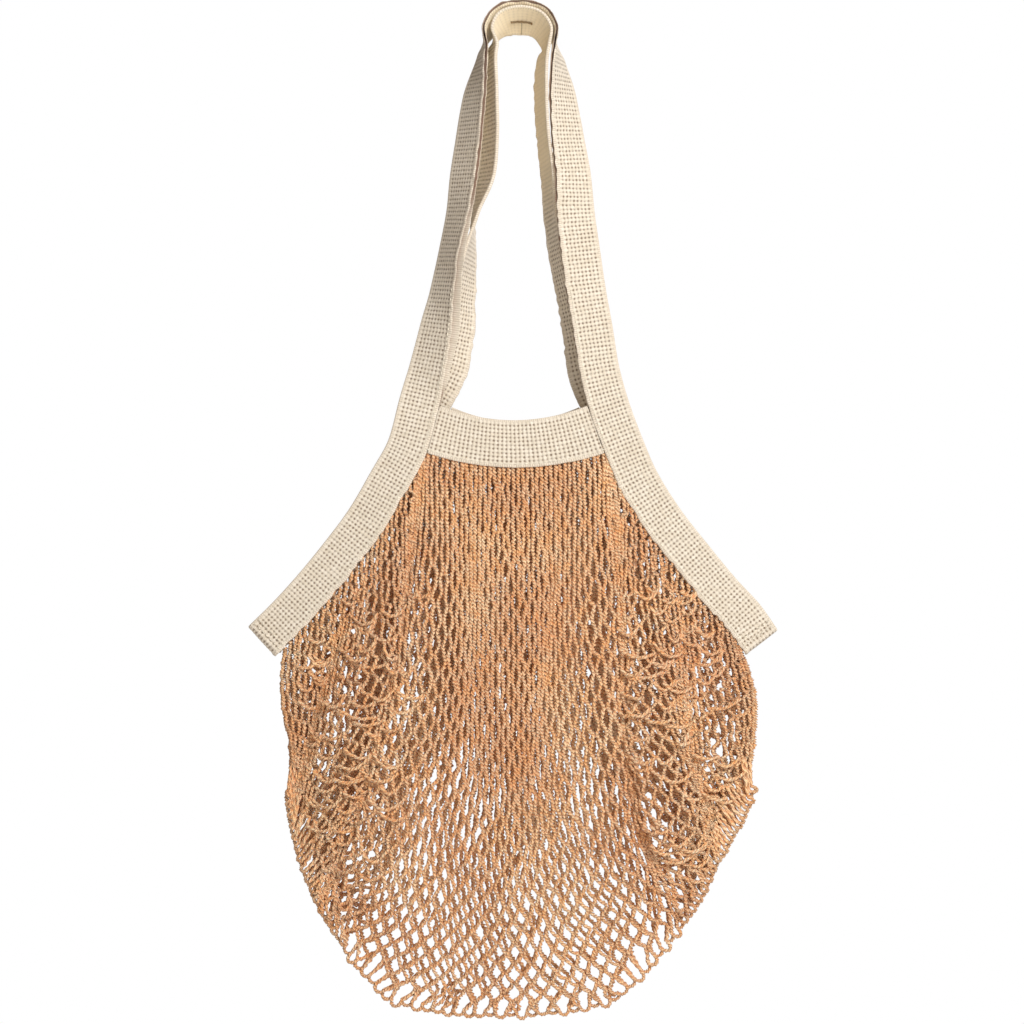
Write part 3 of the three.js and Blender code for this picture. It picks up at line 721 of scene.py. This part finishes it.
def net_lines(run):
    """A panel's top line and its bottom line, both from left to right, as x and z."""
    sides = []
    for sign, spread, reach, side in ((-1, LEFT_SPREAD, LEFT_REACH, 1), (1, RIGHT_SPREAD, RIGHT_REACH, 2)):
        line = selvedge_line(run, sign)
        bound = bound_side(line, sign, spread, reach)
        sides.append((bound, free_side(bound[-1], line, side, sign, reach)))
    (left, left_free), (right, right_free) = sides
    share = np.linspace(0, 1, 60)
    arc = 1 - (2 * share - 1) ** 2
    band = np.column_stack([lerp(left[0, 0], right[0, 0], share), left[0, 1] - BAND_SAG * arc])
    low_left, low_right = left_free[-1], right_free[-1]
    low = lerp(low_left, low_right, share[:, None])
    low[:, 1] = lerp(low[:, 1], -NET_BOTTOM, arc)
    bottom = np.vstack([left_free, low[1:-1], right_free[::-1]])
    return (left[::-1], band, right), bottom


def on_top_line(parts, u):
    """A point of the top line: the strands crowd under the band and spread along the handles."""
    edge = STRAP_STRANDS / STRANDS
    stops = (0, edge, 1 - edge, 1)
    points = np.zeros((len(u), 2))
    for part, low, high in zip(parts, stops, stops[1:]):
        here = (u >= low) & (u <= high)
        points[here] = along_line(part, (u[here] - low) / (high - low))
    return points


def seam_line(bottom):
    """The part of the outline where strands end: round the bottom and some way up both sides."""
    run = lengths(bottom)
    side = FREE_FALL * SIDE_FALL
    return along_line(bottom, np.linspace(side, run[-1] - side, 400) / run[-1])


def on_seam(seam, u):
    """Ends of the strands: about twice as wide apart in the middle as at the crowded sides."""
    places = np.linspace(0, 1, 401)
    room = lerp(1.0, 1.9, 1 - smoothstep(np.abs(places - 0.5), 0.13, 0.27))
    share = np.concatenate([[0], np.cumsum((room[1:] + room[:-1]) / 2)])
    return along_line(seam, np.interp(u, places, share / share[-1]))


def panel_depth(x, z, spec, top, bottom):
    """How far a panel stands from the middle plane: it hangs open at the mouth and closes at its edges."""
    left = bottom[: len(bottom) // 2]
    right = bottom[len(bottom) // 2:][::-1]
    xl, xr = (np.interp(-z, -part[:, 1], part[:, 0]) for part in (left, right))
    roof = np.interp(x, *np.vstack(top).T)
    floor = np.interp(x, *bottom[np.argsort(bottom[:, 0])].T)
    above_corner = z > bottom[0, 1]
    from_side = np.where(above_corner, 80, np.minimum(x - xl, xr - x))
    swell = smoothstep(from_side, 2, 60) * smoothstep(roof - z, 6, 120) * smoothstep(z - floor, 0, 110)
    down = np.clip((-z - BAND_LOW) / (NET_BOTTOM - BAND_LOW), 0, 1)
    edge = np.where(roof - z < 60, lerp(rim_depth(x, z), 2.2, smoothstep(roof - z, 10, 60)), 2.2)
    full = MOUTH_GAP / 2 * (1 - down**2) + spec["bulge"] * 1.1
    return lerp(edge, full, swell)


def panel_nodes(spec, top, bottom, rng):
    """Where the cords of a hanging panel kiss, column by column and row by row."""
    shift = spec["shift"]
    even = np.linspace(0, 1, STRANDS + 1)
    u = even + spec["slide"] / STRANDS * smoothstep(np.minimum(even, 1 - even), 0, 0.05)
    seam = seam_line(bottom)
    # At the bottom, where the panels are linked, they hang cell behind cell
    start, stop = on_top_line(top, u), on_seam(seam, lerp(even, u, 0.25))
    corners = on_top_line(top, np.array([0.0, 1.0]))
    fall = np.linspace(0, 1, 80)
    target = np.full((STRANDS + 1, MOST_ROWS, 3), np.nan)
    rows = np.zeros(STRANDS + 1, int)
    for c in range(STRANDS + 1):
        from_edge = min(u[c], 1 - u[c])
        fan = lerp(FAN_MIDDLE, FAN_SIDE, smoothstep(abs(u[c] - 0.5), 0.04, 0.16))
        path = np.column_stack([
            lerp(start[c, 0], stop[c, 0], lerp(fall, fall**fan, smoothstep(from_edge, 0, 0.1))),
            lerp(start[c, 1], stop[c, 1], fall),
        ])
        # Below the corners the outer cords follow the bag's outline
        end = 0 if u[c] < 0.5 else -1
        outline = bottom[: len(bottom) // 2] if end == 0 else bottom[len(bottom) // 2:][::-1]
        drop = (corners[end, 1] - path[:, 1]) / (corners[end, 1] - seam[end, 1])
        sway = np.interp(-path[:, 1], -outline[:, 1], outline[:, 0])
        sway = sway - lerp(corners[end, 0], seam[end, 0], drop)
        path[:, 0] += np.where((drop > 0) & (drop < 1), sway, 0) * (1 - smoothstep(from_edge, 0, 0.12))
        run = lengths(path)
        inner = smoothstep(from_edge, 0.16, 0.34)
        down = smoothstep(-path[:, 1], 540, NET_BOTTOM)
        pitch = lerp(ROW_SIDE, lerp(ROW_TOP, ROW_BOTTOM, down), inner)
        place = np.concatenate([[0], np.cumsum(np.diff(run) / pitch[1:])])
        rows[c] = max(0, round(place[-1] - 0.6))
        wanted = np.arange(rows[c] + 1) * place[-1] / (rows[c] + 0.6)
        x = np.interp(wanted, place, path[:, 0])
        z = np.interp(wanted, place, path[:, 1])
        # The slack net falls into upright folds, close beside the straight middle and deep at the sides
        side = smoothstep(from_edge, 0.0, 0.07) * (1 - smoothstep(from_edge, 0.26, 0.38))
        deep = smoothstep(start[c, 1] - z, 10, 110) * smoothstep(z - stop[c, 1], -5, 50)
        phase = 2 * math.pi * (u[c] / FOLD_PITCH + shift + 0.1 * np.sin(z / 50 + 3 * shift))
        x = x + deep * (spec["fold"] * side + spec["ruffle"]) * np.sin(phase)
        y = panel_depth(x, z, spec, top, bottom) + deep * (6.5 * side + 1.0) * np.cos(phase)
        # Lower down the slack cells drift out of line
        loose = deep * smoothstep(-z, 430, 620) * smoothstep(from_edge, 0.01, 0.07)
        x = x + loose * (4.0 * np.sin(z / 19 + 23 * u[c] + shift) + 2.0 * np.sin(z / 8.5 - 61 * u[c]))
        z = z + loose * (3.5 * np.sin(37 * u[c] + z / 23 + shift) + 2.0 * np.sin(71 * u[c] - z / 11))
        target[c, : rows[c] + 1] = np.column_stack([x, -spec["face"] * np.maximum(y, 1.9), z])
    loose = smoothstep(start[:, None, 1] - target[:, :, 2], 14, 90)[:, :, None]
    low = 1 + 0.7 * smoothstep(-target[:, :, 2], 450, 640)[:, :, None]
    inside = smoothstep(np.minimum(u, 1 - u), 0, 0.05)[:, None, None]
    jitter = rng.normal(0, 1, target.shape) * (0.8 / spec["cord"], 0.9, 1.0)
    return target + jitter * loose * low * lerp(0.4, 1, inside), rows


def settle(nodes, rows):
    """Lets the panel's cords pull where they are too short, while it keeps close to how it should hang."""
    points, target = nodes.copy(), nodes.copy()
    groups = []
    for step in (1, -1):
        for parity in (0, 1):
            pairs = [
                (c, j, c + step, j + 1)
                for c in range(max(0, -step), STRANDS + 1 - max(0, step))
                for j in range(parity, min(rows[c], rows[c + step] - 1) + 1, 2)
                if (c + j) % 2 == 0
            ]
            groups.append(np.array(pairs).T)
    for _ in range(SETTLE_STEPS):
        points += (target - points) * SETTLE_HOLD
        for c, j, d, k in groups:
            gap = points[d, k] - points[c, j]
            length = np.linalg.norm(gap, axis=1)
            move = gap * (np.maximum(0, 1 - BAR / length) * SETTLE_PULL)[:, None]
            held = (j == 0)[:, None]
            points[c, j] += np.where(held, 0, move)
            points[d, k] -= np.where(held, 2 * move, move)
    return points


def cord_radius(spec, u, z):
    """The cord is drawn out and thinner where the net hangs open, at the sides and the bottom."""
    above = spec["cord"] * lerp(CORD_SIDE, CORD_MIDDLE, smoothstep(min(u, 1 - u), 0.18, 0.3))
    return lerp(above, CORD_BOTTOM * spec["cord"] ** 0.2, smoothstep(-z, 420, 670))


def strand_lines(spec, top, bottom, points, rows, rng):
    """The cords of a panel as lines, with each cord's radius along it."""
    middle = (np.arange(STRANDS) + 0.5) / STRANDS
    start, stop = on_top_line(top, middle), on_seam(seam_line(bottom), middle)
    lines = []
    for k in range(STRANDS):
        knots = [(start[k, 0], -spec["face"] * rim_depth(start[k, 0], start[k, 1]), start[k, 1])]
        radii = [CORD_BOUND]
        rng.uniform()  # a spare draw, to keep the later ones
        j = 1
        while True:
            c = k + (k + j) % 2
            other = k + 1 - (c - k)
            if j > rows[c]:
                break
            here = points[c, j]
            beside = points[other, min(j, rows[other])] if rows[other] else here
            fallen = start[k, 1] - here[2]
            if spec["face"] > 0:
                kiss = 0.6 + 0.32 * smoothstep(fallen, 10, 140)
            else:
                kiss = lerp(0.1, 0.9, smoothstep(-here[2], 520, 640))
            radius = cord_radius(spec, middle[k], here[2])
            across = 1 if c == k else -1
            touching = here + np.array([across * radius * 0.84, 0, 0])
            knots.append(lerp(lerp(here, beside, 0.5), touching, kiss))
            radii.append(radius)
            j += 1
        end = np.array([stop[k, 0], -spec["face"] * 1.4, stop[k, 1]])
        if np.linalg.norm(end - knots[-1]) < 3 and len(knots) > 2:
            knots.pop()
            radii.pop()
        knots.append(end)
        radii.append(CORD_BOTTOM)
        freedom = lerp(0.25, 1, smoothstep(min(middle[k], 1 - middle[k]), 0, 0.05))
        lines.append(hermite(np.array(knots), np.array(radii), rng, freedom))
    return lines


def hermite(knots, radii, rng, freedom):
    """A cord through its knots, which bows where it is longer than the way between them."""
    gaps = np.diff(knots, axis=0)
    length = np.linalg.norm(gaps, axis=1)
    slopes = np.zeros_like(knots)
    slopes[1:-1] = unit(knots[2:] - knots[:-2] + 1e-9)
    slopes[0], slopes[-1] = unit(gaps[0]), unit(gaps[-1])
    t = (np.arange(BAR_STEPS) / BAR_STEPS)[None, :, None]
    a, b = knots[:-1, None], knots[1:, None]
    pull = 0.85 * length[:, None, None]
    m, n = slopes[:-1, None] * pull, slopes[1:, None] * pull
    points = (
        (2 * t**3 - 3 * t**2 + 1) * a + (t**3 - 2 * t**2 + t) * m
        + (3 * t**2 - 2 * t**3) * b + (t**3 - t**2) * n
    )
    slack = np.clip(BAR - length, 0, 6)
    bow = np.sqrt(slack * length) * 0.42 * freedom
    bow[:2] *= 0.2
    away = rng.normal(0, 1, gaps.shape) * (0.6, 0.45, 0) + (0, 0, -1)
    line = unit(gaps)
    away = away - line * np.sum(away * line, axis=1, keepdims=True)
    points = points + (4 * t * (1 - t)) * (bow[:, None] * away)[:, None]
    points = np.vstack([points.reshape(-1, 3), knots[-1:]])
    wobble = np.where(np.arange(len(points)) % 2, 1, -1) * LINK_WOBBLE * rng.uniform(0.2, 1.4, len(points))
    points[1:-1, 0] += wobble[1:-1]
    points[1:-1, 1] += rng.normal(0, 0.15, len(points) - 2)
    radius = np.interp(np.arange(len(points)) / BAR_STEPS, np.arange(len(knots)), radii)
    return points, radius


def sagging_bars(spec, points, rows, rng):
    """Slack bars of the net that lie across the folds at its sides and sag between them."""
    lines = []
    every = 3 if spec["face"] > 0 else 4
    starts = [c for c in range(3, STRANDS - 6) if min(c, STRANDS - c) < 0.3 * STRANDS and c % every != 1]
    for c in starts:
        u = c / STRANDS
        for j in range(3, rows[c] - 1, 2):
            if rng.uniform() < 0.5:
                continue
            beyond = c + int(rng.integers(2, 5))
            heights = points[beyond, 1:max(2, rows[beyond]), 2]
            a = points[c, j]
            if a[2] > SLACK_BELOW:
                continue
            b = points[beyond, 1 + int(np.argmin(np.abs(heights - a[2] - rng.normal(0, 3))))]
            span = abs(b[0] - a[0])
            if not 8 < span < 26 or abs(b[2] - a[2]) > 9:
                continue
            radius = cord_radius(spec, u, a[2]) * 0.92
            share = np.linspace(0, 1, max(9, round(span / 1.35)))[:, None]
            line = lerp(a, b, share)
            arc = 4 * share[:, 0] * (1 - share[:, 0])
            line[:, 2] -= arc * rng.uniform(2.5, 6.5)
            line[:, 1] -= spec["face"] * (0.8 + arc * rng.uniform(0.8, 2.6))
            line[1:-1] += rng.normal(0, 0.22, (len(line) - 2, 3))
            rng.uniform()
            lines.append((line, np.full(len(line), radius), u))
    return lines


def seam_loops(spec, bottom, rng):
    """Small loops of cord that stand out along the seam where neighbouring strands are linked."""
    middle = (np.arange(STRANDS) + 0.5) / STRANDS
    ends = on_seam(seam_line(bottom), middle)
    first = 0 if spec["face"] > 0 else 1
    lines = []
    for k in range(first, STRANDS - 1, 2):
        a, b = ends[k], ends[k + 1]
        outward = unit(np.array([(b - a)[1], -(b - a)[0]]))
        depth = rng.uniform(2.5, 5.5) * (0.4 if middle[k] < 0.3 else 1)
        angles = np.linspace(0, math.pi, 13)
        spot = (a + b) / 2 + np.outer(-np.cos(angles), (b - a) / 2)
        spot = spot + np.outer(np.sin(angles), outward * depth)
        y = -spec["face"] * (1.4 - 0.6 * np.sin(angles))
        rng.uniform()
        lines.append((np.column_stack([spot[:, 0], y, spot[:, 1]]), np.full(len(spot), CORD_BOTTOM)))
    return lines


def lines_mesh(name, lines):
    """Lines of points with their radii, as the edges of one mesh."""
    mesh = bpy.data.meshes.new(name)
    edges = []
    count = 0
    for line, _ in lines:
        edges += [(count + i, count + i + 1) for i in range(len(line) - 1)]
        count += len(line)
    points, radii = (np.concatenate(part) for part in zip(*lines))
    mesh.from_pydata((points * MM).tolist(), edges, [])
    mesh.attributes.new("radius_mm", "FLOAT", "POINT").data.foreach_set("value", radii)
    return mesh


def path_mesh(name, points):
    mesh = bpy.data.meshes.new(name)
    mesh.from_pydata((points * MM).tolist(), [(i, i + 1) for i in range(len(points) - 1)], [])
    return mesh


# ---------------------------------------------------------------- making

canvas = open_canvas("undyed open cotton canvas")
# The last colour is the darker dye, also used for the painted shade in the cord's creases
cord = knitted_cord("apricot knitted cotton cord", "#ffe2b8", "#ffc484", "#c96424")
thread_pale = sewing_thread("undyed cotton sewing thread", "#f3ead6")
thread_gold = sewing_thread("golden brown sewing thread", "#94713f")
thread_tan = sewing_thread("tan sewing thread", "#c8b48e")

RELIEF, CORDS, STITCHES = relief_tree(), cord_tree(), stitch_tree()


def declare(piece, slot, *nodes):
    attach(piece, "root")
    if nodes:
        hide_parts(*nodes)


for side, spec in HANDLES.items():
    face = spec["face"]
    rng = np.random.default_rng(11 + face)
    run = handle_run(spec)
    relief = {"Hole depth": 0.5 * MM, "Material": canvas}
    handle = made_plain(
        f"handle_{side}_webbing",
        webbing_mesh("handle", with_corners(run, face), TAPE_WIDTH, 8, 21 + face),
        RELIEF, relief,
    )
    declare(handle, "cotton_webbing", f"handle_{side}")
    band_stations = band_run(face, selvedge_line(run, -1), selvedge_line(run, 1))
    band = made_plain(
        f"band_{side}_webbing", webbing_mesh("band", band_stations, BAND_WIDTH, 10, 31 + face), RELIEF, relief
    )
    declare(band, "cotton_webbing", f"top_band_{side}")

    top, bottom = net_lines(run)
    nodes, rows = panel_nodes(spec, top, bottom, rng)
    nodes = settle(nodes, rows)
    lines = strand_lines(spec, top, bottom, nodes, rows, rng)
    bars = sagging_bars(spec, nodes, rows, rng)
    loops = seam_loops(spec, bottom, rng)
    values = {"Link swell": 0.3, "Sides": 5, "Material": cord}
    halves = {
        "left": lines[: STRANDS // 2] + loops[: len(loops) // 2] + [bar[:2] for bar in bars if bar[2] < 0.5],
        "right": lines[STRANDS // 2:] + loops[len(loops) // 2:] + [bar[:2] for bar in bars if bar[2] > 0.5],
    }
    for half, part in halves.items():
        net = made_plain(f"net_{side}_{half}", lines_mesh("net", part), CORDS, values)
        declare(net, "cotton_net", f"net_{side}")

    # A line of stitches holds the layers together near the selvedges
    for label, stations in (("handle", run), ("band", band_stations)):
        surface = PLY + stations["slot"] / 2
        line = stations["at"] + stations["along"] * (stations["width"] / 2 - STITCH_EDGE)[:, None]
        line = line + stations["out"] * (surface + 0.1)[:, None]
        if label == "handle":
            low = stations["at"][:, 2] < -HANDLE_DROP * PARTING_TO
            parts = [line[low & (line[:, 0] < 0)], line[low & (line[:, 0] > 0)]]
            # and two more lines close each corner of the mouth
            reach = np.linspace(2.5 - TAPE_WIDTH / 2, TAPE_WIDTH / 2 - 2.5, 24)[:, None]
            for end in (2, 6, -3, -7):
                across = run["at"][end] + run["along"][end] * reach
                parts.append(across + run["out"][end] * (surface[end] + 0.1))
        else:
            parts = [line]
        for i, part in enumerate(parts):
            seam = made_plain(
                f"stitches_{label}_{side}_{i + 1}", path_mesh("seam", part), STITCHES,
                {"Pitch": 3.4 * MM, "Stitch length": 2.7 * MM, "Thread": 0.85 * MM, "Material": thread_pale},
            )
            declare(seam, "cotton_webbing")


# The back handle's two ends meet under the peg: a bar tack in golden thread, and the joint below it
TACK_X, TACK_REACH = 1.0, 8.2
TACK_ACROSS, TACK_HALF_WIDTH = 14.5, 1.0  # from the fold
arch_run = handle_run(HANDLES["back"])
under_peg = np.abs(arch_run["at"][:, 0] - TACK_X) < TACK_REACH
under_peg &= arch_run["at"][:, 2] > -HANDLES["back"]["radius"]


def on_inner_face(i, across, lift):
    """A point of the back handle's inner face at a station, measured from its fold."""
    depth = PLY + SLOT_ARCH / 2 + lift
    return arch_run["at"][i] + arch_run["along"][i] * (across - TAPE_WIDTH / 2) - arch_run["out"][i] * depth


spots = np.flatnonzero(under_peg)
zigzag = []
for step, place in enumerate(np.linspace(spots[0], spots[-1], 2 * len(spots))):
    i = int(place)
    across = TACK_ACROSS + (TACK_HALF_WIDTH if step % 2 else -TACK_HALF_WIDTH)
    zigzag.append(lerp(on_inner_face(i, across, 0.25), on_inner_face(i + 1, across, 0.25), place - i))
joint_at = spots[len(spots) // 2]
joint = np.array([on_inner_face(joint_at, across, 0.1) for across in np.linspace(16, TAPE_WIDTH - 1, 12)])
tacks = (("bar_tack", np.array(zigzag), 0.5, thread_gold), ("handle_joint", joint, 0.28, thread_tan))
for name, path, radius, thread in tacks:
    tack = made_plain(
        name, lines_mesh(name, [(path, np.full(len(path), radius))]), CORDS,
        {"Link swell": 0.0, "Sides": 6, "Material": thread},
    )
    declare(tack, "cotton_webbing")


# ---------------------------------------------------------------- stage, light and camera

FLOOR_RADIUS, FLOOR_HEIGHT, FLOOR_CORNERS = 2.2, -1.25, 96
CAMERA_AWAY, FIELD = 1.5, 0.7168  # metres from the bag, and how wide the picture is there


def studio_floor():
    """A pale round floor well below the bag."""
    mesh = bpy.data.meshes.new("studio_floor")
    angles = np.linspace(0, 2 * math.pi, FLOOR_CORNERS, endpoint=False)
    rim = [(FLOOR_RADIUS * math.cos(a), FLOOR_RADIUS * math.sin(a), FLOOR_HEIGHT) for a in angles]
    mesh.from_pydata(rim, [], [list(range(FLOOR_CORNERS))])
    floor = placed("studio_floor", mesh)
    material, _, _ = new_material("matt white paper", Base_Color=linear("#f6f6f6"), Roughness=1.0)
    mesh.materials.append(material)


def soft_light(name, place, aim, size, power):
    data = bpy.data.lights.new(name, "AREA")
    data.size = size
    data.energy = power
    lamp = placed(name, data)
    lamp.location = place
    lamp.rotation_euler = (Vector(aim) - Vector(place)).to_track_quat("-Z", "Y").to_euler()


studio_floor()
soft_light("key", (0.9, -1.6, 0.75), (0, 0, -0.35), 0.8, 41.5)
soft_light("fill", (0.25, -1.8, -1.0), (0, 0, -0.55), 1.2, 9.5)
soft_light("back", (0.3, 1.6, 0.6), (0, 0, -0.35), 1.2, 24)

# White to the camera, and a softer warm light on the bag
world = bpy.data.worlds.new("pale room")
world.use_nodes = True
sky = world.node_tree
seen = add(sky, "ShaderNodeLightPath").outputs["Is Camera Ray"]
glow = mix(sky, seen, (0.29, 0.252, 0.216, 1), (1.0, 1.0, 1.0, 1))
sky.links.new(glow, sky.nodes["Background"].inputs[0])
bpy.context.scene.world = world
bpy.context.scene.view_settings.view_transform = "Standard"

camera_data = bpy.data.cameras.new("camera")
camera_data.sensor_width = 36
camera_data.lens = 36 * CAMERA_AWAY / FIELD
camera = placed("camera", camera_data)
camera.location = (-0.0056, -CAMERA_AWAY, -0.343)
camera.rotation_euler = (math.pi / 2, 0, 0)
bpy.context.scene.camera = camera
